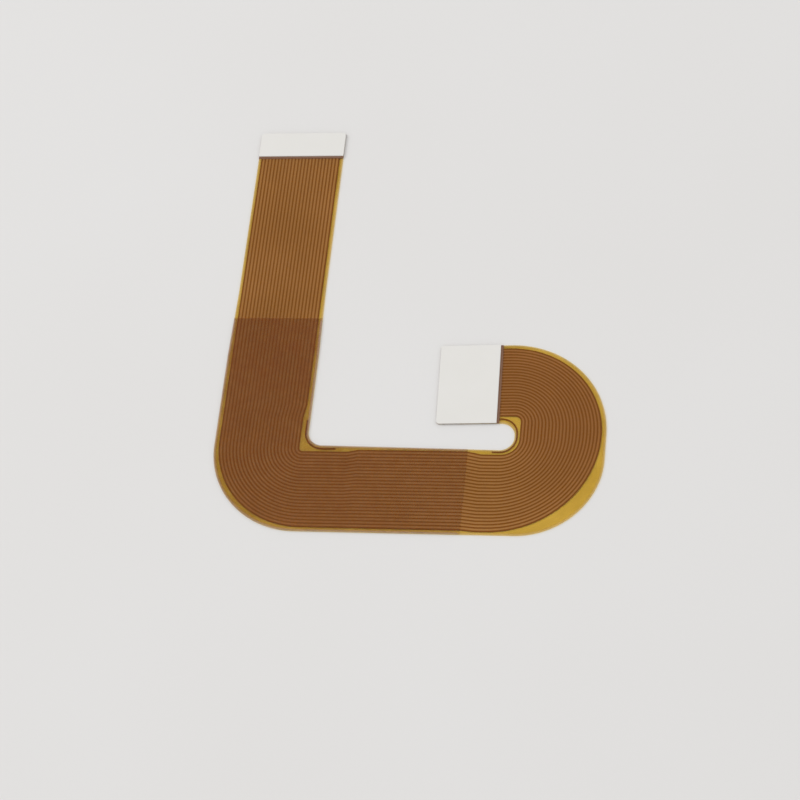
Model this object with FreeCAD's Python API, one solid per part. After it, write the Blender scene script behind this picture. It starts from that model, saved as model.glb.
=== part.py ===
"""Flat flexible cable: 24 copper tracks between two films, bent in a J, with a stiffener on each end.

Millimetres. The cable lies flat with its contacts facing down. X runs along the bottom arm, from the
corner towards the turn, Y along the long arm, and Z up through the layers. The plan is worked out from
the corner of the innermost track, and every piece is then moved so that the origin lies under the
middle of the whole outline, on the surface that the cable rests on.
"""
import FreeCAD, Part
import math
import os

# Tracks
track_count = 24
pitch = 0.5               # track spacing at the contacts and along both arms
track_width = 0.22
contact_width = 0.3       # each track widens to this at its contact fingers
corner_squeeze = 0.014    # the tracks draw this much closer round the corner
run_squeeze = 0.01        # on their run into the turn
turn_squeeze = 0.028      # round the turn
tail_squeeze = 0.051      # and where the turn runs into the short tail

# Plan of the innermost track, along its middle
long_arm_length = 51.95   # from its corner to the end of the long arm
turn_distance = 30.46     # from its corner to its leg at the turn
turn_drop = 0.09          # its run into the turn lies this much lower than its run from the corner
tail_rise = 5.99          # from its corner's level up to its run in the short tail
tail_turn = 1.7           # degrees by which the short tail closes in on the bottom arm
short_tail_length = 11.73  # from its leg at the turn to the end of the short tail

# Bend radii of the innermost track, and how much they grow from track to track
corner_bend = 0.62
corner_bend_growth = 0.521
lower_turn_bend = 2.5
lower_bend_growth = 0.525
upper_turn_bend = 0.95
upper_bend_growth = 0.521

# Where the tracks change spacing
arm_taper_start = 5.2     # above the corner, on the long arm
arm_taper_length = 2.0
corner_taper_start = 6.9  # along the bottom arm, after the corner
corner_taper_length = 1.5
turn_taper_gap = 5.1      # along the bottom arm, before the turn
turn_taper_length = 2.0
fan_gap = 0.9             # inside the edge of the short tail's stiffener
fan_length = 2.2

# Film edges
outer_margin = 0.72       # from the middle of the outermost track to the film's edge
inner_margin = 1.14       # from the innermost track's middle at the corner to the long arm's inner edge
end_outer_margin = 0.48   # the same two along the long arm's narrower end
end_inner_margin = 0.94
narrow_above = 15.0       # the long arm narrows from here up
narrow_length = 10.0
bottom_arm_edge = 1.0     # height of the bottom arm's upper edge at the corner
slot_floor = 0.66         # and at the end of the slot
slot_end_margin = 0.78    # from the slot's end to the middle of the innermost track
slot_roof_margin = 1.153  # from the slot's upper edge to the middle of the innermost track
inner_corner_radius = 2.1
slot_radius = 1.95
film_corner_spare = 0.6   # the film's corner is squarer than the tracks in it
lower_turn_spare = 3.8    # so is its lower corner at the turn, by more
upper_turn_spare = 0.2    # and its upper corner there, by less
tail_margin = 0.13        # from the outer contacts' edges to the film's edges at the short tail
end_chamfer = 0.25        # the film's and stiffeners' corners at both ends

# Guard lines, which stop a tear at the inside corners
guard_beside = 0.74       # from the innermost track to the corner guard, on the long arm
guard_above = 0.52        # and on the bottom arm
guard_edge = 0.42         # from the corner guard to the film's edge
guard_up = 4.9            # run of the corner guard up the long arm
guard_along = 5.2         # and along the bottom arm
guard_gap = 0.48          # from the innermost track to the slot's guard
slot_guard_edge = 0.29    # from the slot's guard to the film's edge
slot_guard_run = 3.7      # run of the slot's guard along the bottom arm, before the turn
slot_guard_under = 0.8    # how far its upper end runs in under the stiffener

# Layers
coverlay_thickness = 0.05     # cover film and adhesive under the copper
copper_thickness = 0.035
base_thickness = 0.05
tail_thickness = 0.3          # contacts, base film, tape and stiffener together
tape_thickness = 0.05         # adhesive tape that bonds each stiffener
reinforcing_thickness = 0.075
seal = 0.1                    # width of the bonded border along the film's edges

# Ends
contact_length = 3.0      # widened stretch at the long arm's end of a track
neck_length = 0.4         # over which it narrows to the track's width
bare_length = 3.3         # stretch at each end that the cover film leaves bare
contact_setback = 0.15    # from the film's end to the tip of a contact
long_stiffener_length = 3.95
short_stiffener_length = 8.3
tape_show = 0.35          # the tape reaches this far past each stiffener's inner edge

# Reinforcing film
reinforcing_up = 20.9     # from the corner up the long arm
reinforcing_along = 23.5  # from the corner along the bottom arm

# Spacings, spans and edges that follow from those sizes
gaps = track_count - 1
corner_pitch = pitch - corner_squeeze
run_pitch = pitch - run_squeeze
turn_pitch = pitch - turn_squeeze
tail_pitch = pitch - tail_squeeze
outer_track = -gaps * corner_pitch
left_edge = outer_track - outer_margin
end_left_edge = outer_track - end_outer_margin
bottom_edge = left_edge
right_edge = turn_distance + gaps * turn_pitch + outer_margin
tail_bottom = tail_rise - slot_roof_margin
tail_top = tail_bottom + gaps * pitch + contact_width + 2 * tail_margin
slot_end = turn_distance - slot_end_margin
tail_end = turn_distance - short_tail_length
stiffener_edge = tail_end + short_stiffener_length
corner_radius = corner_bend + gaps * corner_bend_growth + outer_margin - film_corner_spare
lower_radius = lower_turn_bend + gaps * lower_bend_growth + outer_margin - lower_turn_spare
upper_radius = upper_turn_bend + gaps * upper_bend_growth + outer_margin - upper_turn_spare

# Heights of the layers above the surface
copper_bottom = coverlay_thickness
base_bottom = copper_bottom + copper_thickness
base_top = base_bottom + base_thickness
tape_top = base_top + tape_thickness
stiffener_thickness = tail_thickness - copper_thickness - base_thickness - tape_thickness

# From the plan's own origin to the middle of the outline
middle = FreeCAD.Vector((left_edge + right_edge) / 2, (bottom_edge + long_arm_length) / 2, 0)


def point(x, y):
    return FreeCAD.Vector(x, y, 0)


def turned(x, y):
    """A place in the short tail, turned with it about the innermost track's upper corner at the turn."""
    hub = point(turn_distance, tail_rise)
    spin = FreeCAD.Rotation(FreeCAD.Vector(0, 0, 1), tail_turn)
    return hub + spin.multVec(point(x, y) - hub)


def under_turned(x, y):
    """Where a line along the short tail, y high before the tail is turned, crosses the upright line at x."""
    slope = math.radians(tail_turn)
    return point(x, tail_rise + (y - tail_rise) / math.cos(slope) + (x - turn_distance) * math.tan(slope))


def rounded_wire(corners):
    """A closed outline from (corner, radius) pairs: straight sides joined by tangent arcs."""
    stops = []
    for index, (corner, radius) in enumerate(corners):
        before = (corners[index - 1][0] - corner).normalize()
        after = (corners[(index + 1) % len(corners)][0] - corner).normalize()
        half = before.getAngle(after) / 2
        if radius <= 0:
            stops.append((corner, None, corner))
            continue
        reach = radius / math.tan(half)
        inward = (before + after).normalize()
        crown = corner + inward * (radius / math.sin(half) - radius)
        stops.append((corner + before * reach, crown, corner + after * reach))
    edges = []
    for index, (start, crown, end) in enumerate(stops):
        if crown is not None:
            edges.append(Part.Arc(start, crown, end).toShape())
        following = stops[(index + 1) % len(stops)][0]
        edges.append(Part.LineSegment(end, following).toShape())
    return Part.Wire(edges)


def plate(corners, bottom, thickness):
    """A flat piece with the given outline."""
    face = Part.Face(rounded_wire(corners))
    face.translate(FreeCAD.Vector(0, 0, bottom))
    return face.extrude(FreeCAD.Vector(0, 0, thickness))


def side_of(start, end):
    """The unit vector to the left of the way from start to end."""
    way = (end - start).normalize()
    return FreeCAD.Vector(-way.y, way.x, 0)


def edge_of(route, side):
    """One edge of a line along a route of (place, bend, width): side is 1 for its left and -1 for its right."""
    corners = []
    for index, (place, bend, width) in enumerate(route):
        before = route[max(index - 1, 0)][0]
        after = route[min(index + 1, len(route) - 1)][0]
        first = side_of(before, place) if index > 0 else side_of(place, after)
        second = side_of(place, after) if index < len(route) - 1 else first
        reach = side * width / 2
        corner = place + (first + second) * (reach / (1 + first.dot(second)))
        turn = math.copysign(1, first.cross(second).z)
        corners.append((corner, bend - turn * reach if bend > 0 else 0))
    return corners


def line_of_copper(route):
    """A line of copper foil along a route of (place, bend, width), with square ends."""
    outline = edge_of(route, 1) + edge_of(route, -1)[::-1]
    return plate(outline, copper_bottom, copper_thickness)


def track_route(inside):
    """The middle of a track as (place, bend, width), where inside counts the tracks within it."""
    outside = gaps - inside
    arm_place = outer_track + outside * pitch
    corner_place = -inside * corner_pitch
    run_place = -turn_drop - inside * run_pitch
    turn_x = turn_distance + inside * turn_pitch
    tail_y = tail_rise + inside * tail_pitch
    contact_y = (tail_top + tail_bottom) / 2 + (inside - gaps / 2) * pitch
    neck_y = long_arm_length - contact_length
    fan_x = stiffener_edge - fan_gap
    taper_x = turn_distance - turn_taper_gap
    return [
        (point(arm_place, long_arm_length - contact_setback), 0, contact_width),
        (point(arm_place, neck_y), 0, contact_width),
        (point(arm_place, neck_y - neck_length), 0, track_width),
        (point(arm_place, arm_taper_start + arm_taper_length), 0, track_width),
        (point(corner_place, arm_taper_start), 0, track_width),
        (point(corner_place, corner_place), corner_bend + inside * corner_bend_growth, track_width),
        (point(corner_taper_start, corner_place), 0, track_width),
        (point(corner_taper_start + corner_taper_length, arm_place), 0, track_width),
        (point(taper_x - turn_taper_length, arm_place), 0, track_width),
        (point(taper_x, run_place), 0, track_width),
        (point(turn_x, run_place), lower_turn_bend + inside * lower_bend_growth, track_width),
        (under_turned(turn_x, tail_y), upper_turn_bend + inside * upper_bend_growth, track_width),
        (turned(fan_x, tail_y), 0, track_width),
        (turned(fan_x - fan_length, contact_y), 0, contact_width),
        (turned(tail_end + contact_setback, contact_y), 0, contact_width),
    ]


def track(number):
    """One copper track with its contact finger at each end. Number 1 is the outermost."""
    return line_of_copper(track_route(track_count - number))


def corner_guard():
    """The unconnected line round the inside of the corner."""
    return line_of_copper([
        (point(guard_beside, guard_up), 0, track_width),
        (point(guard_beside, guard_above), inner_corner_radius + guard_edge, track_width),
        (point(guard_along, guard_above), 0, track_width),
    ])


def slot_guard():
    """The unconnected line round the end of the slot between the bottom arm and the short tail."""
    guard_x = turn_distance - guard_gap
    guard_low = guard_gap - turn_drop
    guard_top = tail_rise - guard_gap
    bend = slot_radius + slot_guard_edge
    return line_of_copper([
        (point(turn_distance - slot_guard_run, guard_low), 0, track_width),
        (point(guard_x, guard_low), bend, track_width),
        (under_turned(guard_x, guard_top), bend, track_width),
        (turned(stiffener_edge - slot_guard_under, guard_top), 0, track_width),
    ])


def long_arm_end(end_y, inset, chamfer):
    """The two corners of the long arm's end, cut off by the chamfer, from the inner edge round."""
    inner = end_inner_margin - inset
    outer = end_left_edge + inset
    return [
        (point(inner, end_y - chamfer), 0),
        (point(inner - chamfer, end_y), 0),
        (point(outer + chamfer, end_y), 0),
        (point(outer, end_y - chamfer), 0),
    ]


def short_tail_end(end_x, inset, chamfer):
    """The two corners of the short tail's end, cut off by the chamfer, from the outer edge round."""
    top = tail_top - inset
    bottom = tail_bottom + inset
    return [
        (turned(end_x + chamfer, top), 0),
        (turned(end_x, top - chamfer), 0),
        (turned(end_x, bottom + chamfer), 0),
        (turned(end_x + chamfer, bottom), 0),
    ]


def square_corners(corners):
    """The same corners with those that fall together merged, as where a chamfer is nought."""
    kept = []
    for place, bend in corners:
        if not kept or place.distanceToPoint(kept[-1][0]) > 1e-6:
            kept.append((place, bend))
    return kept


def film_corners(inset, end_inset, chamfer):
    """The cable's outline, drawn in from its edges and from its two ends."""
    left = left_edge + inset
    bottom = bottom_edge + inset
    right = right_edge - inset
    inner = inner_margin - inset
    narrow = narrow_above + narrow_length
    return square_corners(
        long_arm_end(long_arm_length - end_inset, inset, chamfer)
        + [
            (point(end_left_edge + inset, narrow), 0),
            (point(left, narrow_above), 0),
            (point(left, bottom), corner_radius - inset),
            (point(right, bottom), lower_radius - inset),
            (under_turned(right, tail_top - inset), upper_radius - inset),
        ]
        + short_tail_end(tail_end + end_inset, inset, chamfer)
        + [
            (under_turned(slot_end + inset, tail_bottom + inset), slot_radius + inset),
            (point(slot_end + inset, slot_floor - inset), slot_radius + inset),
            (point(inner, bottom_arm_edge - inset), inner_corner_radius + inset),
            (point(inner, narrow_above), 0),
            (point(end_inner_margin - inset, narrow), 0),
        ]
    )


def base_film():
    """The film that carries the copper, over the whole outline."""
    return plate(film_corners(0, 0, end_chamfer), base_bottom, base_thickness)


def coverlay_film():
    """The cover film under the copper, bonded to the base film round the field of tracks."""
    sheet = plate(film_corners(0, bare_length, 0), 0, base_bottom)
    recess = plate(film_corners(seal, 0, 0), copper_bottom, copper_thickness)
    return sheet.cut(recess)


def long_arm_patch(length):
    """The outline of what is bonded on the back of the long arm's end, flush with the film."""
    foot = long_arm_length - length
    end = long_arm_end(long_arm_length, 0, end_chamfer)
    return end + [(point(end_left_edge, foot), 0), (point(end_inner_margin, foot), 0)]


def short_tail_patch(length):
    """The outline of what is bonded on the back of the short tail's end, flush with the film."""
    edge = tail_end + length
    end = short_tail_end(tail_end, 0, end_chamfer)
    return end + [(turned(edge, tail_bottom), 0), (turned(edge, tail_top), 0)]


def tape(patch, stiffener_length):
    """The adhesive tape under a stiffener, showing a little past its inner edge."""
    return plate(patch(stiffener_length + tape_show), base_top, tape_thickness)


def stiffener(patch, stiffener_length):
    """A white plate that stiffens an end for its connector."""
    return plate(patch(stiffener_length), tape_top, stiffener_thickness)


def reinforcing_film():
    """The darker second film over the corner, cut to the cable's outline and bonded on the base film."""
    past = outer_margin
    bend_x = inner_margin + inner_corner_radius
    bend_y = bottom_arm_edge + inner_corner_radius
    corners = [
        (point(left_edge - past, reinforcing_up), 0),
        (point(left_edge - past, bottom_edge - past), 0),
        (point(reinforcing_along, bottom_edge - past), 0),
        (point(reinforcing_along, bend_y), 0),
        (point(bend_x, bend_y), 0),
        (point(bend_x, reinforcing_up), 0),
    ]
    cover = plate(corners, base_top, reinforcing_thickness)
    cable = plate(film_corners(0, 0, end_chamfer), base_top, reinforcing_thickness)
    return cable.common(cover).Solids[0]


def save(name, shape):
    """Writes one sub-part, moved so that the origin is under the middle of the outline."""
    shape.translate(middle * -1)
    shape.exportStep(f"parts/{name}.step")
    print(f"{name}: {shape.Volume:.3f} cubic millimetres, valid {shape.isValid()}")


os.makedirs("parts", exist_ok=True)
save("base_film", base_film())
save("coverlay_film", coverlay_film())
save("reinforcing_film", reinforcing_film())
save("stiffener_tape_long_arm", tape(long_arm_patch, long_stiffener_length))
save("stiffener_tape_short_tail", tape(short_tail_patch, short_stiffener_length))
save("stiffener_long_arm", stiffener(long_arm_patch, long_stiffener_length))
save("stiffener_short_tail", stiffener(short_tail_patch, short_stiffener_length))
save("tear_guard_corner", corner_guard())
save("tear_guard_slot", slot_guard())
for number in range(1, track_count + 1):
    save(f"trace_{number:02d}", track(number))
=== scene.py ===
# %% [markdown]
# A flat flexible cable, dressed for its photograph.
#
# The cable is a sandwich about a tenth of a millimetre thick: copper tracks between two amber
# films, a second film over the corner, and a white stiffener on each end. The solids come from
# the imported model. They already have the right outline and place, so most of this lesson is
# about light going through thin coloured film, and about the few pieces that need a finer form.

import bpy
import numpy as np
from mathutils import Matrix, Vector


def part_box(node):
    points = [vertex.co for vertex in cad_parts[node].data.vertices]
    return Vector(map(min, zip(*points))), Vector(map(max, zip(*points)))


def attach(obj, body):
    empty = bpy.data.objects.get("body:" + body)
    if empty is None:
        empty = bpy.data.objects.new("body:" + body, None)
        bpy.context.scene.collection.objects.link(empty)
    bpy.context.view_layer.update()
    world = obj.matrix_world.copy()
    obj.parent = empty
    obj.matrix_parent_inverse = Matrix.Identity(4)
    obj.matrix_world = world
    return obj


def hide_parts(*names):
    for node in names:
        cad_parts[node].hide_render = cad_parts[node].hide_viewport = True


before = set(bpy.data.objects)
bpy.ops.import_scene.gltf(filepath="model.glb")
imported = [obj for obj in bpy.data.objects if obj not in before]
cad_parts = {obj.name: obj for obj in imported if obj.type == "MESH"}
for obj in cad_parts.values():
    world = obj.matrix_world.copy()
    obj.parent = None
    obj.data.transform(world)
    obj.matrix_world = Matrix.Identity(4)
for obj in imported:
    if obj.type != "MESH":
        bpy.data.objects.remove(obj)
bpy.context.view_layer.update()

# %% [markdown]
# The camera comes first, because everything after it is judged through it. The photograph was
# taken from in front of the cable and a little to the right, looking down at about 60 degrees.
# The camera could be placed by eye, but here its angles were worked out from the corners and
# tracks that the photograph shows. A long lens keeps the two arms nearly free of perspective.
# The distances are in millimetres, and one factor turns them into Blender's metres.

# %% Camera at the photograph's angle
MM = 0.001


def unit(v):
    """A vector, or an array of them, divided by its own length."""
    return v / np.linalg.norm(v, axis=-1, keepdims=True)


def standing(x_axis, y_axis, z_axis, place):
    """The matrix of an object whose axes point these ways, at a place in millimetres."""
    matrix = Matrix(np.column_stack([x_axis, y_axis, z_axis]).tolist()).to_4x4()
    matrix.translation = place * MM
    return matrix


looked_at = np.array([-1.709, -11.825, 0.0])
distance = 342.7
azimuth, elevation, roll = np.radians([23.0, 60.31, -19.57])

outwards = np.array([np.sin(azimuth), -np.cos(azimuth), 0.0])
back = outwards * np.cos(elevation) + [0, 0, np.sin(elevation)]
level = unit(np.cross([0, 0, 1], back))
upright = np.cross(back, level)
right = level * np.cos(roll) + upright * np.sin(roll)
up = upright * np.cos(roll) - level * np.sin(roll)

lens = bpy.data.cameras.new("camera")
lens.sensor_width = 36
lens.lens = 112.5
camera = bpy.data.objects.new("camera", lens)
bpy.context.scene.collection.objects.link(camera)
camera.matrix_world = standing(right, up, back, looked_at + back * distance)
bpy.context.scene.camera = camera
print("camera at", np.round(looked_at + back * distance, 1), "mm")

# %% [markdown]
# Light. A cable on a white table in daylight gets nearly all of its light from all round, and a
# little more from the window side, which makes the stiffeners' thin shadow darker on one side
# than on the other. An even world and one large lamp do the same. Together they light the table
# at a level of one, where a colour renders about as it is written. A lamp of P watts at distance
# d lights the table at the level P z / (pi d) squared, where z is its height over its distance,
# and the cell solves that for P. A ray may also cross more clear faces than Blender's usual
# eight, because the films and the glue have that many on the way down alone.

# %% World and window light
scene = bpy.context.scene
scene.view_settings.view_transform = "Standard"
scene.cycles.transparent_max_bounces = 24
world_light = 0.85
window_light = 0.15

world = bpy.data.worlds.new("room")
world.use_nodes = True
world.node_tree.nodes["Background"].inputs["Color"].default_value = (1, 1, 1, 1)
world.node_tree.nodes["Background"].inputs["Strength"].default_value = world_light
scene.world = world

window_way = unit(np.array([-0.90, 0.35, 0.75]))
window_distance, window_size = 1600.0, 700.0
window = bpy.data.lights.new("window", "AREA")
window.shape = "SQUARE"
window.size = window_size * MM
window.energy = window_light * np.pi ** 2 * (window_distance * MM) ** 2 / window_way[2]
lamp = bpy.data.objects.new("window", window)
scene.collection.objects.link(lamp)
sill = unit(np.cross([0, 0, 1], window_way))
jamb = np.cross(window_way, sill)
lamp.matrix_world = standing(sill, jamb, window_way, window_way * window_distance)
print(f"window lamp of {window.energy:.2f} W, {window_distance:.0f} mm away")

# %% [markdown]
# Colours and nodes. A hex colour is what a screen shows, and the shader wants linear light, so
# one function turns the one into the other. One more function adds a node: it takes the node's
# settings and the values and links of its sockets, which keeps each recipe short.


# %% Helpers for materials
def linear(hex_colour):
    """Linear red, green and blue of an sRGB hex colour: ((c + 0.055) / 1.055) to the power 2.4."""
    screen = np.array([int(hex_colour[i:i + 2], 16) for i in (1, 3, 5)]) / 255
    return np.where(screen <= 0.04045, screen / 12.92, ((screen + 0.055) / 1.055) ** 2.4)


def rgba(hex_colour, faces=1):
    """A socket's value: the linear colour to the power 1 / faces, and an alpha of one."""
    return (*linear(hex_colour) ** (1 / faces), 1.0)


def add(material, kind, settings=None, **sockets):
    """Adds a node with its settings, values and links.

    A socket is named with _ for its spaces, or by _ and its number, and takes a value or
    another node's output.
    """
    tree = material.node_tree
    made = tree.nodes.new(kind)
    for name, value in (settings or {}).items():
        setattr(made, name, value)
    for name, value in sockets.items():
        wanted = name.replace("_", " ").strip()
        socket = made.inputs[int(wanted) if wanted.isdigit() else wanted]
        if isinstance(value, bpy.types.NodeSocket):
            tree.links.new(value, socket)
        else:
            socket.default_value = value
    return made


def new_material(name):
    """An empty material, and the piece's own coordinates in metres."""
    material = bpy.data.materials.new(name)
    material.use_nodes = True
    material.node_tree.nodes.clear()
    return material, add(material, "ShaderNodeTexCoord").outputs["Object"]


def show(material, shader):
    """Links a shader to the material's output, and prints what was made."""
    add(material, "ShaderNodeOutputMaterial", Surface=shader)
    print(f"{material.name}: {len(material.node_tree.nodes)} nodes")
    return material


def per_metre(size):
    """The scale of a texture whose features are this many millimetres apart."""
    return 1 / (size * MM)


print("mid grey #808080 is", linear("#808080").round(3), "in linear light")

# %% [markdown]
# The table is a plain pale sheet. It lies a hair under the cable, so that the lowest film and
# the table never share a plane: light that is traced through two faces in one plane flickers.


# %% Table
def table_material():
    """Matt laminate: even, with a faint cloudiness that the eye reads as a real surface."""
    material, where = new_material("matt_white_laminate")
    cloud = add(material, "ShaderNodeTexNoise", Vector=where, Scale=per_metre(60), Detail=2.0)
    tone = add(material, "ShaderNodeMix", {"data_type": "RGBA"}, Factor=cloud.outputs["Fac"],
               A=rgba("#e0dedc"), B=rgba("#e4e3e2"))
    surface = add(material, "ShaderNodeBsdfPrincipled", Base_Color=tone.outputs["Result"],
                  Roughness=0.7, Specular_IOR_Level=0.2)
    return show(material, surface.outputs["BSDF"])


table_half = 2500.0
table_drop = 0.01
corners = np.array([[-1, -1], [1, -1], [1, 1], [-1, 1]]) * table_half
table_verts = np.column_stack([corners, np.full(4, -table_drop)]) * MM
table_mesh = bpy.data.meshes.new("table")
table_mesh.from_pydata(table_verts.tolist(), [], [(0, 1, 2, 3)])
table_mesh.materials.append(table_material())
table = bpy.data.objects.new("table", table_mesh)
scene.collection.objects.link(table)

# %% [markdown]
# The plan of the cable. The new pieces follow the same lines as the solids, so the sizes that
# they need are written down once, in millimetres. They are counted from the corner of the
# innermost track. First come the tracks: how much closer than at the contacts they lie on each
# stretch, where they change their spacing, and how their bends grow from track to track.

# %% Sizes of the tracks
track_count = 24
gaps = track_count - 1
pitch = 0.5
corner_pitch, run_pitch, turn_pitch, tail_pitch = pitch - np.array([0.014, 0.01, 0.028, 0.051])
turn_distance, turn_drop = 30.46, 0.09
tail_rise, tail_turn = 5.99, np.radians(1.7)
corner_bend, corner_bend_growth = 0.62, 0.521
lower_turn_bend, lower_bend_growth = 2.5, 0.525
upper_turn_bend, upper_bend_growth = 0.95, 0.521
arm_taper_start, arm_taper_length = 5.2, 2.0
corner_taper_start, corner_taper_length = 6.9, 1.5
turn_taper_gap, turn_taper_length = 5.1, 2.0
fan_gap, fan_length = 0.9, 2.2
outer_track = -gaps * corner_pitch
print(f"{track_count} tracks: {gaps * pitch:.2f} mm wide at the contacts, "
      f"{gaps * corner_pitch:.2f} mm round the corner")

# %% [markdown]
# Then come the film's edges and the layers. The margins are the strips of film beside the
# tracks, and in its bends the film is a little squarer than the tracks. `middle` moves the plan
# to the frame, whose origin is under the middle of the whole outline. A hair is the clear space
# that keeps two touching pieces out of one plane.

# %% Sizes of the films and the layers
outer_margin, end_outer_margin = 0.72, 0.48
inner_margin, end_inner_margin = 1.14, 0.94
narrow_above, narrow_length = 15.0, 10.0
bottom_arm_edge = 1.0
slot_floor, slot_end_margin, slot_roof_margin = 0.66, 0.78, 1.153
contact_width, tail_margin = 0.3, 0.13
corner_spare, lower_spare, upper_spare = 0.6, 3.8, 0.2
inner_corner_radius, slot_radius, end_radius = 2.1, 1.95, 0.42
arm_end, short_tail_length = 51.95, 11.73
bare_length = 3.3
arm_stiffener, tail_stiffener = 3.95, 8.3
reinforcing_up, reinforcing_along = 20.9, 23.5

left_edge = bottom_edge = outer_track - outer_margin
right_edge = turn_distance + gaps * turn_pitch + outer_margin
arm_left, arm_right = outer_track - end_outer_margin, end_inner_margin
narrow_end = narrow_above + narrow_length
slot_end = turn_distance - slot_end_margin
tail_end = turn_distance - short_tail_length
tail_bottom = tail_rise - slot_roof_margin
tail_top = tail_bottom + gaps * pitch + contact_width + 2 * tail_margin
tail_middle = (tail_top + tail_bottom) / 2
corner_radius = corner_bend + gaps * corner_bend_growth + outer_margin - corner_spare
lower_radius = lower_turn_bend + gaps * lower_bend_growth + outer_margin - lower_spare
upper_radius = upper_turn_bend + gaps * upper_bend_growth + outer_margin - upper_spare
middle = np.array([left_edge + right_edge, bottom_edge + arm_end]) / 2

hair = 0.001
copper_bottom, copper_top, film_top = 0.05, 0.085, 0.135
tape_top, reinforcing_top, stiffener_top = 0.185, 0.21, 0.35
solid_film = np.ptp(np.array(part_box("base_film")), axis=0) / MM
print(f"outline {right_edge - left_edge:.2f} by {arm_end - bottom_edge:.2f} mm, "
      f"of the solid film {solid_film[0]:.2f} by {solid_film[1]:.2f} mm")

# %% [markdown]
# The short tail isn't quite parallel to the bottom arm: it is turned by tail_turn about the
# corner of the innermost track at the turn. One function turns a place of the tail with it.
# Another finds where a line along the tail crosses an upright line, which is where the bends of
# the turn have their corners. A third gives each place its height.


# %% Places on the plan and on the turned tail
def places(x, y):
    """Points (..., 2) of x and y side by side, each spread over the other's shape."""
    return np.stack(np.broadcast_arrays(x, y), -1).astype(float)


def turned(x, y):
    """Places turned about the hub: its own place plus (dx cos - dy sin, dx sin + dy cos)."""
    dx, dy = x - turn_distance, y - tail_rise
    return places(turn_distance + dx * np.cos(tail_turn) - dy * np.sin(tail_turn),
                  tail_rise + dx * np.sin(tail_turn) + dy * np.cos(tail_turn))


def under_turned(x, y):
    """Crossings with the uprights at x: the height over the hub is dy / cos + dx tan."""
    dx, dy = x - turn_distance, y - tail_rise
    return places(x, tail_rise + dy / np.cos(tail_turn) + dx * np.tan(tail_turn))


def lifted(plan, heights):
    """Points (..., 3): the places with their heights, which are spread over the plan's shape."""
    return np.concatenate([plan, np.broadcast_to(heights, plan.shape[:-1])[..., None]], axis=-1)


print("middle of the tail's end at", turned(tail_end, tail_middle).round(2), "mm")

# %% [markdown]
# Every outline here is straight runs joined by arcs. For a bend, the two runs give unit vectors
# a and b from the corner. The arc's centre lies along a + b, and a point of the arc is the
# centre plus the radius times a vector that swings evenly from one tangent point to the other.
# The swing is a blend by sines, so a whole arc, or the same arc of many tracks, is one line of
# array arithmetic.


# %% Straight runs joined by arcs
def rounded(corners, radii, steps=16, closed=False):
    """Points along runs joined by arcs, for corners of shape (..., corner, 2) and one radius each.

    With h half the angle between the runs, the centre is r / sin h from the corner and the arc
    turns by pi - 2h. Point t of it is centre + (sin((1 - t) turn) s + sin(t turn) e) / sin(turn),
    where s and e lead from the centre to the ends of the arc.
    """
    count = corners.shape[-2]
    parts = []
    for index in range(count):
        corner = corners[..., index, :]
        radius = np.asarray(radii[index], dtype=float)[..., None]
        if not radius.any() or (not closed and index in (0, count - 1)):
            parts.append(corner[..., None, :])
            continue
        a = unit(corners[..., index - 1, :] - corner)
        b = unit(corners[..., (index + 1) % count, :] - corner)
        half = np.arccos(np.clip((a * b).sum(-1, keepdims=True), -1, 1)) / 2
        centre = corner + unit(a + b) * radius / np.sin(half)
        s = (corner + a * radius / np.tan(half) - centre)[..., None, :]
        e = (corner + b * radius / np.tan(half) - centre)[..., None, :]
        turn = (np.pi - 2 * half)[..., None, :]
        t = np.linspace(0, 1, steps)[:, None]
        swing = (np.sin((1 - t) * turn) * s + np.sin(t * turn) * e) / np.sin(turn)
        parts.append(centre[..., None, :] + swing)
    return np.concatenate(parts, axis=-2)


bend = rounded(np.array([(0.0, 9.0), (0.0, 0.0), (9.0, 0.0)]), [0, 2, 0])
print(f"a bend of radius 2 runs from {bend[1].round(3)} to {bend[-2].round(3)}")

# %% [markdown]
# A sheet or a plate is a profile carried round an outline, with a face above and one below. The
# profile is what gives it the small edge that a cutting die leaves, which a solid block of the
# same outline lacks.


# %% Plates from an outline and a profile
def walled(outline, profile):
    """A closed plate: a profile of (inset, height) carried round an outline, and two caps.

    Each point moves inwards along the mean of its two edges' normals, divided by the cosine of
    half the turn there, so that every edge moves by the same inset. The sign of the outline's
    area, half the sum of x * next y - y * next x, says which side is inwards.
    """
    following = np.roll(outline, -1, axis=0)
    along = unit(following - outline)
    normal = np.column_stack([-along[:, 1], along[:, 0]])
    mitre = unit(normal + np.roll(normal, 1, axis=0))
    mitre = mitre / (mitre * normal).sum(1, keepdims=True)
    area = (outline[:, 0] * following[:, 1] - outline[:, 1] * following[:, 0]).sum() / 2
    inset, height = np.transpose(profile)[..., None]
    verts = lifted(outline + mitre * np.sign(area) * inset[..., None], height)
    n, levels = len(outline), len(profile)
    ring = np.arange(n)
    start = np.arange(levels - 1)[:, None] * n
    after = (ring + 1) % n
    walls = np.stack([start + ring, start + after, start + n + after, start + n + ring], axis=-1)
    walls = walls.reshape(-1, 4)
    caps = [ring[::-1].tolist(), (ring + (levels - 1) * n).tolist()]
    if area < 0:
        walls = walls[:, ::-1]
        caps = [cap[::-1] for cap in caps]
    return verts.reshape(-1, 3), walls.tolist() + caps


verts, faces = walled(bend, [(0, 0), (0, 1), (0.1, 1.1)])
print(f"a plate with that bend has {len(verts)} points and {len(faces)} faces")

# %% [markdown]
# Three more helpers. The first makes a mesh of the plan into a piece that rides with the cable.
# The second stores a number at each of its points, for its material to read. The third gives
# solids a material in place of the one that they came with.


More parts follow.
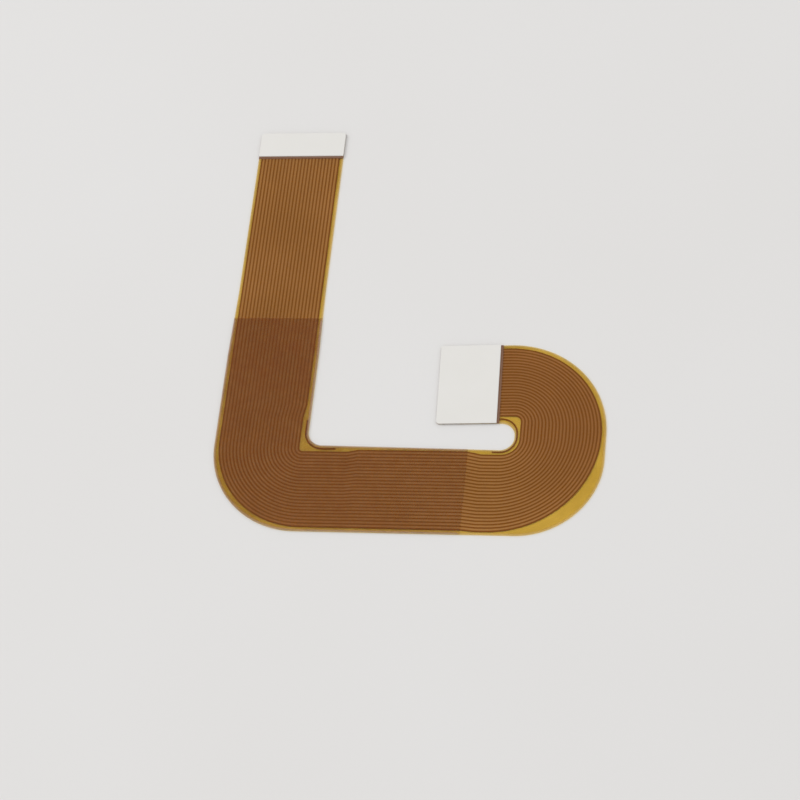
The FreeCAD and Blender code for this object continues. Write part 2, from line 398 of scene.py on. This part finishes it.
# %% Helpers for pieces
def make_piece(name, verts, faces, material, stands_for=()):
    """Puts a mesh in millimetres of the plan into the frame, and lets it ride with the cable."""
    mesh = bpy.data.meshes.new(name)
    placed = (verts - [*middle, 0]) * MM
    mesh.from_pydata(placed.tolist(), [], faces)
    mesh.materials.append(material)
    mesh.validate()
    piece = bpy.data.objects.new(name, mesh)
    scene.collection.objects.link(piece)
    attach(piece, "root")
    if stands_for:
        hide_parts(*stands_for)
    print(f"{name}: {len(mesh.vertices)} points, {len(mesh.polygons)} faces")
    return piece


def store(piece, name, numbers):
    """Stores one number for each point of a piece, in the order of its points."""
    stored = piece.data.attributes.new(name, "FLOAT", "POINT")
    stored.data.foreach_set("value", np.ravel(numbers).astype(np.float32))


def dress(node_names, material):
    """Gives solids a material, and leaves their meshes alone."""
    for name in node_names:
        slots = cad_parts[name].data.materials
        slots.clear()
        slots.append(material)
    print(f"{material.name} on {len(node_names)} of the solids")


# %% [markdown]
# Amber polyimide film, cast as a sheet and laminated. It holds back blue and some green, so
# white light that goes through it, meets the table and comes back is a deep yellow. Glass would
# do it in Blender, but a lamp's light doesn't reach through glass without much noise. A
# Transparent shader does let it through, and takes its share of each colour on the way. Light
# crosses two faces of each film, so a face has the square root of the film's own tint. A little
# haze, and a satin gloss that grows towards a glancing angle, are mixed in. Along the film's rim,
# a number stored at its points fades a pale haze inwards: painted light, where the cut edge
# catches light.


# %% Layers of a film's finish
def film_haze(material, where, colour, amount, rim):
    """A dull layer and its share: fine scuffs times the amount, plus the painted rim light."""
    scuff = add(material, "ShaderNodeTexNoise", Vector=where, Scale=per_metre(1.5), Detail=6.0)
    # The pale haze faded in from the rim is painted light along the cut edge.
    edge = add(material, "ShaderNodeAttribute", {"attribute_name": "painted_rim_light"}).outputs["Fac"]
    rim_light = add(material, "ShaderNodeMath", {"operation": "MULTIPLY"}, _0=edge, _1=rim[1])
    share = add(material, "ShaderNodeMath", {"operation": "MULTIPLY_ADD"},
                _0=scuff.outputs["Fac"], _1=amount.outputs["Result"], _2=rim_light.outputs[0])
    milk = add(material, "ShaderNodeMix", {"data_type": "RGBA"}, Factor=edge,
               A=rgba(colour), B=rgba(rim[0]))
    return add(material, "ShaderNodeBsdfDiffuse", Color=milk.outputs["Result"]), share


def film_gloss(material, where, least):
    """A satin layer and its share: least from above, and 1 at a glance, by the power 5."""
    ripple = add(material, "ShaderNodeTexNoise", Vector=where, Scale=per_metre(0.8), Detail=2.0)
    relief = add(material, "ShaderNodeBump", Height=ripple.outputs["Fac"], Strength=0.1,
                 Distance=0.01 * MM)
    gloss = add(material, "ShaderNodeBsdfAnisotropic", Color=(1, 1, 1, 1), Roughness=0.22,
                Normal=relief.outputs["Normal"])
    glance = add(material, "ShaderNodeLayerWeight", Blend=0.5, Normal=relief.outputs["Normal"])
    steep = add(material, "ShaderNodeMath", {"operation": "POWER"},
                _0=glance.outputs["Facing"], _1=5.0)
    return gloss, add(material, "ShaderNodeMapRange", Value=steep.outputs[0], To_Min=least)


# %% [markdown]
# The three films share one recipe. The base film and the cover film are the same clear sheet,
# with faint clouds in it. The second film was laminated with its own glue, which is browner and
# milkier, and more so up the long arm than along the bottom arm, so its tints and its haze are
# graded from the one to the other. The grade follows the frame's Y, from 24 to 8 mm before its
# origin, so it lies still on the cable from every side. Haze and gloss belong to the face that
# meets the air, which is found by its height to within a hundredth of a millimetre.

# %% Films
graded_from, graded_to = -24.0, -8.0
bare_within = 0.01


def film_material(name, tints, haze_colour, hazes, least_gloss, bare_height, graded=False,
                  rim=("#ede4ce", 0.22)):
    """Cast film: the tints are what one passage lets through in its paler and darker clouds.

    Only the face at bare_height, in millimetres, meets the air. The others are glued down, where
    light passes without a reflection, so haze and gloss are switched off away from that height.
    The two hazes hold along the bottom arm and up the long arm, and a graded film's tints too.
    The rim is the colour and the share of the haze along the cut edge, which is painted light.
    """
    material, where = new_material(name)
    position = add(material, "ShaderNodeSeparateXYZ", Vector=where)
    bare = add(material, "ShaderNodeMath", {"operation": "COMPARE"}, _0=position.outputs["Z"],
               _1=bare_height * MM, _2=bare_within * MM)
    upwards = add(material, "ShaderNodeMapRange", Value=position.outputs["Y"],
                  From_Min=graded_from * MM, From_Max=graded_to * MM)
    amount = add(material, "ShaderNodeMapRange", Value=upwards.outputs["Result"],
                 To_Min=2 * hazes[0], To_Max=2 * hazes[1])
    patch = upwards
    if not graded:
        cloud = add(material, "ShaderNodeTexNoise", Vector=where, Scale=per_metre(9), Detail=3.0)
        patch = add(material, "ShaderNodeMapRange", Value=cloud.outputs["Fac"],
                    From_Min=0.35, From_Max=0.65)
    face = add(material, "ShaderNodeMix", {"data_type": "RGBA"}, Factor=patch.outputs["Result"],
               A=rgba(tints[0], faces=2), B=rgba(tints[1], faces=2))
    body = add(material, "ShaderNodeBsdfTransparent", Color=face.outputs["Result"])
    for layer, share in (film_haze(material, where, haze_colour, amount, rim),
                         film_gloss(material, where, least_gloss)):
        share = add(material, "ShaderNodeMath", {"operation": "MULTIPLY"},
                    _0=share.outputs[0], _1=bare.outputs[0])
        body = add(material, "ShaderNodeMixShader", Fac=share.outputs[0],
                   _1=body.outputs[0], _2=layer.outputs[0])
    return show(material, body.outputs["Shader"])


base_polyimide = film_material(
    "cast_polyimide_base", tints=["#f8eab8", "#f3e4ae"], haze_colour="#8a5a24",
    hazes=[0.01, 0.01], least_gloss=0.012, bare_height=film_top)
cover_polyimide = film_material(
    "cast_polyimide_cover", tints=["#fbf0c4", "#f1e5b3"], haze_colour="#8a5a24",
    hazes=[0.01, 0.01], least_gloss=0.012, bare_height=0.0)
brown_polyimide = film_material(
    "laminated_polyimide_reinforcement", tints=["#f6f5f5", "#eeeeee"], haze_colour="#95512c",
    hazes=[0.12, 0.24], least_gloss=0.004, bare_height=reinforcing_top, graded=True,
    rim=("#b29b9b", 0.3))
dress(["base_film"], base_polyimide)
dress(["coverlay_film"], cover_polyimide)
dress(["reinforcing_film"], brown_polyimide)

# %% [markdown]
# The base film carries the copper and lies on top as the camera sees it. The solid has sharp edges
# and shares its faces' planes with the copper, so this piece stands for it: the same outline,
# with the edges that a cutting die rounds a little, and a thousandth of a millimetre of clear
# space above the copper. One more ring of points on the upper face, 0.4 mm in, is where the
# painted rim light ends. Each corner of the outline is written with its radius.

# %% Base film with die-cut edges
film_plan = [
    ((arm_right, arm_end), end_radius),
    ((arm_left, arm_end), end_radius),
    ((arm_left, narrow_end), 0),
    ((left_edge, narrow_above), 0),
    ((left_edge, bottom_edge), corner_radius),
    ((right_edge, bottom_edge), lower_radius),
    (under_turned(right_edge, tail_top), upper_radius),
    (turned(tail_end, tail_top), end_radius),
    (turned(tail_end, tail_bottom), end_radius),
    (under_turned(slot_end, tail_bottom), slot_radius),
    ((slot_end, slot_floor), slot_radius),
    ((inner_margin, bottom_arm_edge), inner_corner_radius),
    ((inner_margin, narrow_above), 0),
    ((arm_right, narrow_end), 0),
]
film_corners, film_radii = zip(*film_plan)
arc_steps = 32
film_outline = rounded(np.array(film_corners), film_radii, arc_steps, closed=True)

die_edge, rim_light_width = 0.006, 0.4
base_floor, base_roof = copper_top + hair, film_top - hair
base_profile = [
    (die_edge, base_floor), (0, base_floor + die_edge),
    (0, base_roof - die_edge), (die_edge, base_roof), (rim_light_width, base_roof),
]
verts, faces = walled(film_outline, base_profile)
base_piece = make_piece("base_sheet", verts, faces, base_polyimide, ["base_film"])
# The pale haze on the rim is painted light along the cut edge: 1 on the edge's rings, 0 on the
# ring 0.4 mm in.
store(base_piece, "painted_rim_light", np.outer([1, 1, 1, 1, 0], np.ones(len(film_outline))))

# %% [markdown]
# The second film gets the painted rim light only along the cable's sides, where its edge is the
# cable's edge, and not at its two ends, which lie across the base film. So the painted light is
# stored as 1 along the sides and as 0 at the ends, with one more point half a millimetre before
# each end to keep the change short.

# %% Reinforcing film with painted light along its sides
short_of_end = 0.5


def side_places(up_arm, along_bottom):
    """Where the arms' sides are at these distances: lines between the outline's corners."""
    narrowing = [narrow_above, narrow_end]
    inner_side = np.interp(up_arm, narrowing, [inner_margin, arm_right])
    outer_side = np.interp(up_arm, narrowing, [left_edge, arm_left])
    upper_side = np.interp(along_bottom, [inner_margin, slot_end], [bottom_arm_edge, slot_floor])
    return ((inner_side, up_arm), (outer_side, up_arm),
            (along_bottom, bottom_edge), (along_bottom, upper_side))


end = side_places(reinforcing_up, reinforcing_along)
before = side_places(reinforcing_up - short_of_end, reinforcing_along - short_of_end)
reinforcing_plan = [
    (end[0], 0, 0),
    (end[1], 0, 0),
    (before[1], 0, 1),
    ((left_edge, narrow_above), 0, 1),
    ((left_edge, bottom_edge), corner_radius, 1),
    (before[2], 0, 1),
    (end[2], 0, 0),
    (end[3], 0, 0),
    (before[3], 0, 1),
    ((inner_margin, bottom_arm_edge), inner_corner_radius, 1),
    ((inner_margin, narrow_above), 0, 1),
    (before[0], 0, 1),
]
plan_corners, plan_radii, plan_rim_light = zip(*reinforcing_plan)
reinforcing_outline = rounded(np.array(plan_corners), plan_radii, arc_steps, closed=True)
reinforcing_profile = [
    (0, film_top + hair), (0, reinforcing_top - die_edge),
    (die_edge, reinforcing_top), (rim_light_width, reinforcing_top),
]
verts, faces = walled(reinforcing_outline, reinforcing_profile)
reinforcing_piece = make_piece("reinforcing_sheet", verts, faces, brown_polyimide,
                               ["reinforcing_film"])
# Painted rim light along the cable's sides only, none at the film's ends.
rim_light = np.repeat(plan_rim_light, np.where(plan_radii, arc_steps, 1))
store(reinforcing_piece, "painted_rim_light", np.outer([1, 1, 1, 0], rim_light))

# %% [markdown]
# The route of the tracks. Each one is the same chain of runs and bends: down the long arm, a
# little closer together before the corner, round it, back to full spacing along the bottom arm,
# closer again before the turn, round its two bends, and fanned out to the contacts under the
# short tail's stiffener. One function gives any number of them at once.


# %% Route of the tracks
def track_routes(inside, arm_stop, tail_stop):
    """Middles of tracks as points (track, step, 2), for numbers counted from the innermost.

    The corner of a track is its number times the spacing out from the innermost one's, and its
    bend is larger by the number times a little more than the spacing.
    """
    arm = outer_track + (gaps - inside) * pitch
    near = -inside * corner_pitch
    run = -turn_drop - inside * run_pitch
    leg = turn_distance + inside * turn_pitch
    tail = tail_rise + inside * tail_pitch
    finger = tail_middle + (inside - gaps / 2) * pitch
    turn_taper_end = turn_distance - turn_taper_gap
    fan_start = tail_end + tail_stiffener - fan_gap
    chain = [
        (places(arm, arm_stop), 0),
        (places(arm, arm_taper_start + arm_taper_length), 0),
        (places(near, arm_taper_start), 0),
        (places(near, near), corner_bend + inside * corner_bend_growth),
        (places(corner_taper_start, near), 0),
        (places(corner_taper_start + corner_taper_length, arm), 0),
        (places(turn_taper_end - turn_taper_length, arm), 0),
        (places(turn_taper_end, run), 0),
        (places(leg, run), lower_turn_bend + inside * lower_bend_growth),
        (under_turned(leg, tail), upper_turn_bend + inside * upper_bend_growth),
        (turned(fan_start, tail), 0),
        (turned(fan_start - fan_length, finger), 0),
        (turned(tail_stop, finger), 0),
    ]
    corners, bends = zip(*chain)
    return rounded(np.stack(corners, -2), bends, steps=24)


line_count = 13
across = np.linspace(0, gaps, line_count)
routes = track_routes(across, arm_end - bare_length, tail_end + bare_length)
step_count = routes.shape[1]
print(f"{line_count} lines of {step_count} steps along the cable")

# %% [markdown]
# Bond coat. Between the tracks the films are glued together. The glue's brown, cloudy colour,
# darker than the clear margins, is painted shade: the shade that the tracks cast on the table
# under the film. Its finish reads two numbers that are stored at its points. One says how many
# millimetres deep in the field a point lies, because less light creeps in there from the
# margins, so the painted shade is darker there. The other lets the tone drift along the cable.


# %% Bond coat finish, with painted shade
def bond_and_shade_material():
    """Acrylic adhesive, a dull brown with a fine grain: the brown is painted shade, darker deeper
    in the field.

    The glue's real grain is finer than a hundredth of a millimetre, so it is drawn at 0.35 mm.
    """
    material, where = new_material("cured_acrylic_glue_painted_shade")
    drift = add(material, "ShaderNodeAttribute", {"attribute_name": "tone_along_cable"})
    tone = add(material, "ShaderNodeMix", {"data_type": "RGBA"}, Factor=drift.outputs["Fac"],
               A=rgba("#a77d6c"), B=rgba("#b79280"))
    depth = add(material, "ShaderNodeAttribute", {"attribute_name": "depth_in_field"})
    # Painted shade: darker deeper in the field, where less light creeps in from the margins.
    inner = add(material, "ShaderNodeMapRange", Value=depth.outputs["Fac"], From_Max=3.0,
                To_Min=1.05, To_Max=0.97)
    grain = add(material, "ShaderNodeTexNoise", Vector=where, Scale=per_metre(0.35), Detail=4.0)
    grain = add(material, "ShaderNodeMapRange", Value=grain.outputs["Fac"],
                To_Min=0.9, To_Max=1.1)
    shade = add(material, "ShaderNodeMath", {"operation": "MULTIPLY"},
                _0=grain.outputs["Result"], _1=inner.outputs["Result"])
    coat = add(material, "ShaderNodeMix", {"data_type": "RGBA", "blend_type": "MULTIPLY"},
               Factor=1.0, A=tone.outputs["Result"], B=shade.outputs[0])
    dull = add(material, "ShaderNodeBsdfPrincipled", Base_Color=coat.outputs["Result"],
               Roughness=0.8, Specular_IOR_Level=0.1)
    through = add(material, "ShaderNodeBsdfTransparent", Color=rgba("#f6e6c8"))
    body = add(material, "ShaderNodeMixShader", Fac=0.85,
               _1=through.outputs["BSDF"], _2=dull.outputs["BSDF"])
    return show(material, body.outputs["Shader"])


bond_and_shade = bond_and_shade_material()

# %% [markdown]
# The glue itself is a flat slab that runs with the tracks, a little thinner than they are. It is
# made from lines side by side on their route, there along the top and back along the floor. Its
# painted shade is paler and more yellow before the turn, and browner on it. The tone is written
# for a few steps of the route: the long arm's end, the start and end of the corner, both ends of
# the taper before the turn, the bends of the turn, and the short tail's end.


# %% Bond coat, coloured with painted shade
def slab_along(lines, top, floor):
    """A slab from lines (line, step, 2): a loop of them, there at the top and back at the floor.

    Its faces join each line of the loop to the next one, and a row of faces closes each end.
    """
    loop = np.concatenate([lines, lines[::-1]])
    heights = np.repeat([top, floor], len(lines))[:, None]
    count, steps = loop.shape[:2]
    cell = np.arange(count)[:, None] * steps + np.arange(steps - 1)
    beside = np.roll(cell, -1, axis=0)
    quads = np.stack([cell, cell + 1, beside + 1, beside], -1).reshape(-1, 4)
    row = np.arange(len(lines) - 1)
    under = count - 1 - row
    first_end = np.stack([row, row + 1, under - 1, under], -1) * steps
    last_end = first_end[:, ::-1] + steps - 1
    faces = np.concatenate([quads, first_end, last_end]).tolist()
    return lifted(loop, heights).reshape(-1, 3), faces


# The glue's brown between the tracks is painted shade.
verts, faces = slab_along(routes, copper_top - 2 * hair, copper_bottom + 2 * hair)
bond_and_shade_piece = make_piece("glue_with_painted_shade", verts, faces, bond_and_shade)
depth = np.minimum(across, gaps - across) * pitch
store(bond_and_shade_piece, "depth_in_field", np.repeat([*depth, *depth[::-1]], step_count))
# Tone of the painted shade at a few steps of the route.
tone_at_step = {0: 0.75, 2: 0.5, 28: 0.5, 29: 1, 31: 1, 52: 0.05, 62: 0.05, 81: 0.25}
drift = np.interp(np.arange(step_count), list(tone_at_step), list(tone_at_step.values()))
store(bond_and_shade_piece, "tone_along_cable", np.tile(drift, 2 * line_count))

# %% [markdown]
# Copper foil. The tracks are etched from rolled foil whose bonded face was treated brown so that
# the film grips it. Under the film it looks dull and dark, far from polished copper, but it is
# still a metal and brightens a little towards the light.


# %% Copper finish
def copper_material():
    """Etched copper foil with a brown bonding treatment, grained by the rolling.

    The real grain is a few hundredths of a millimetre wide, and is drawn at 0.4 mm to show.
    """
    material, where = new_material("etched_brown_treated_copper")
    grain = add(material, "ShaderNodeTexNoise", Vector=where, Scale=per_metre(0.4), Detail=5.0)
    tone = add(material, "ShaderNodeMix", {"data_type": "RGBA"}, Factor=grain.outputs["Fac"],
               A=rgba("#7e5231"), B=rgba("#895a36"))
    metal = add(material, "ShaderNodeBsdfPrincipled", Base_Color=tone.outputs["Result"],
                Roughness=0.5, Metallic=0.8)
    return show(material, metal.outputs["BSDF"])


dress([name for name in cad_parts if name.startswith(("trace_", "tear_guard_"))],
      copper_material())

# %% [markdown]
# The contacts. On the underside the last 3.3 mm of every track lies bare, and there the copper
# is plated, because bare copper would tarnish. The plating is a thin shell round each finger:
# six points across, with the lower edges bevelled, carried along in three rings. All 24 fingers
# of an end are one array.


# %% Plated contacts
def gold_material():
    """Gold over nickel on brushed foil: a warm mirror, blurred by the foil's fine grain.

    The real grain is a few hundredths of a millimetre wide, and is drawn at 0.2 mm to show.
    """
    material, where = new_material("gold_plated_contact")
    grain = add(material, "ShaderNodeTexNoise", Vector=where, Scale=per_metre(0.2), Detail=4.0)
    rough = add(material, "ShaderNodeMapRange", Value=grain.outputs["Fac"],
                To_Min=0.25, To_Max=0.45)
    metal = add(material, "ShaderNodeBsdfPrincipled", Base_Color=rgba("#e6c27a"), Metallic=1.0,
                Roughness=rough.outputs["Result"])
    return show(material, metal.outputs["BSDF"])


def on_long_arm(finger, along, aside):
    """Places at a distance along the long arm and aside from the middle of its fingers."""
    return places(outer_track + finger * pitch + aside, along)


def on_short_tail(finger, along, aside):
    """The same on the short tail, turned with it."""
    return turned(along, tail_middle + (finger - gaps / 2) * pitch + aside)


def plating(name, place, foot, tip, material):
    """Shells (finger, ring, point) from a section (aside, height), set at three distances.

    These are the foot, one bevel before the tip, and the tip, where each height is at least
    low + bevel, so that the shell's end is bevelled like its sides.
    """
    half, bevel, low, high = 0.152, 0.012, 0.046, 0.0845
    aside = np.array([half, half, half - bevel, bevel - half, -half, -half])
    height = np.array([high, low + bevel, low, low, low + bevel, high])
    heights = np.stack([height, height, np.maximum(height, low + bevel)])
    along = np.array([foot, tip + np.sign(foot - tip) * bevel, tip])
    rings, points = heights.shape
    finger = np.arange(track_count)[:, None, None]
    verts = lifted(place(finger, along[:, None], aside), heights)
    ring = np.arange((rings - 1) * points).reshape(-1, points)
    after = np.roll(ring, -1, axis=1)
    sides = np.stack([ring, after, after + points, ring + points], -1).reshape(-1, 4)
    caps = np.stack([ring[0, ::-1], ring[-1] + points])
    first = finger * rings * points
    faces = (first + sides).reshape(-1, 4).tolist() + (first + caps).reshape(-1, points).tolist()
    return make_piece(name, verts.reshape(-1, 3), faces, material)


gold = gold_material()
foot_gap, tip_gap = 0.005, 0.148
plating("contact_plating_long_arm", on_long_arm, arm_end - bare_length + foot_gap,
        arm_end - tip_gap, gold)
plating("contact_plating_short_tail", on_short_tail, tail_end + bare_length - foot_gap,
        tail_end + tip_gap, gold)

# %% [markdown]
# Stiffeners. Each is a plate of white polyester, cut by a die and stuck on with grey-brown tape
# that peeps out at its inner edge. The tape's dark band there is partly its own colour and partly
# painted shadow of the plate's edge. The die leaves the corners and the upper edge slightly round,
# which catches a fine line of light, so the two plates are made anew with that edge.


# %% Stiffener and tape finishes
def stiffener_material():
    """White polyester sheet: matt, with a fine tooth and the faintest cloudiness.

    The real tooth is finer than a tenth of a millimetre, and is drawn at 0.3 mm to show.
    """
    material, where = new_material("die_cut_white_polyester")
    cloud = add(material, "ShaderNodeTexNoise", Vector=where, Scale=per_metre(4), Detail=3.0)
    tone = add(material, "ShaderNodeMix", {"data_type": "RGBA"}, Factor=cloud.outputs["Fac"],
               A=rgba("#e1dfda"), B=rgba("#e5e3df"))
    tooth = add(material, "ShaderNodeTexNoise", Vector=where, Scale=per_metre(0.3), Detail=3.0)
    relief = add(material, "ShaderNodeBump", Height=tooth.outputs["Fac"], Strength=0.15,
                 Distance=0.01 * MM)
    plastic = add(material, "ShaderNodeBsdfPrincipled", Base_Color=tone.outputs["Result"],
                  Roughness=0.55, Specular_IOR_Level=0.3, Normal=relief.outputs["Normal"])
    return show(material, plastic.outputs["BSDF"])


def tape_and_shadow_material():
    """Transfer tape: grey-brown acrylic, dull, with a mottled cut edge; its dark tone is partly
    painted shadow of the stiffener's edge.
    """
    material, where = new_material("acrylic_transfer_tape_and_painted_shadow")
    grain = add(material, "ShaderNodeTexNoise", Vector=where, Scale=per_metre(0.5), Detail=3.0)
    tone = add(material, "ShaderNodeMix", {"data_type": "RGBA"}, Factor=grain.outputs["Fac"],
               A=rgba("#785845"), B=rgba("#8a6650"))
    glue = add(material, "ShaderNodeBsdfPrincipled", Base_Color=tone.outputs["Result"],
               Roughness=0.6, Specular_IOR_Level=0.2)
    return show(material, glue.outputs["BSDF"])


white = stiffener_material()
dress(["stiffener_long_arm", "stiffener_short_tail"], white)
# The tape's dark band is partly painted shadow of the plates.
dress(["stiffener_tape_long_arm", "stiffener_tape_short_tail"], tape_and_shadow_material())

# %% [markdown]
# The plates' profile is a straight wall with a quarter of a circle above it: at angle a, the
# inset is r (1 - cos a) and the drop from the top is r (1 - sin a). Their outer corners lie on
# the film's rounded ones, and their inner corners are nearly sharp.

# %% Stiffener plates
die_round, inner_radius = 0.04, 0.06
quarter = np.linspace(0, np.pi / 2, 6)
plate_edge = np.column_stack([die_round * (1 - np.cos(quarter)),
                              stiffener_top - die_round * (1 - np.sin(quarter))])
plate_profile = [(0, tape_top + hair), *plate_edge]

arm_foot, tail_foot = arm_end - arm_stiffener, tail_end + tail_stiffener
plates = {
    "stiffener_long_arm": places([arm_right, arm_right, arm_left, arm_left],
                                 [arm_foot, arm_end, arm_end, arm_foot]),
    "stiffener_short_tail": turned(np.array([tail_foot, tail_end, tail_end, tail_foot]),
                                   np.array([tail_top, tail_top, tail_bottom, tail_bottom])),
}
for name, plan in plates.items():
    outline = rounded(plan, [inner_radius, end_radius, end_radius, inner_radius], 8, closed=True)
    verts, faces = walled(outline, plate_profile)
    make_piece(name.replace("stiffener", "stiffener_plate"), verts, faces, white,
               [name])
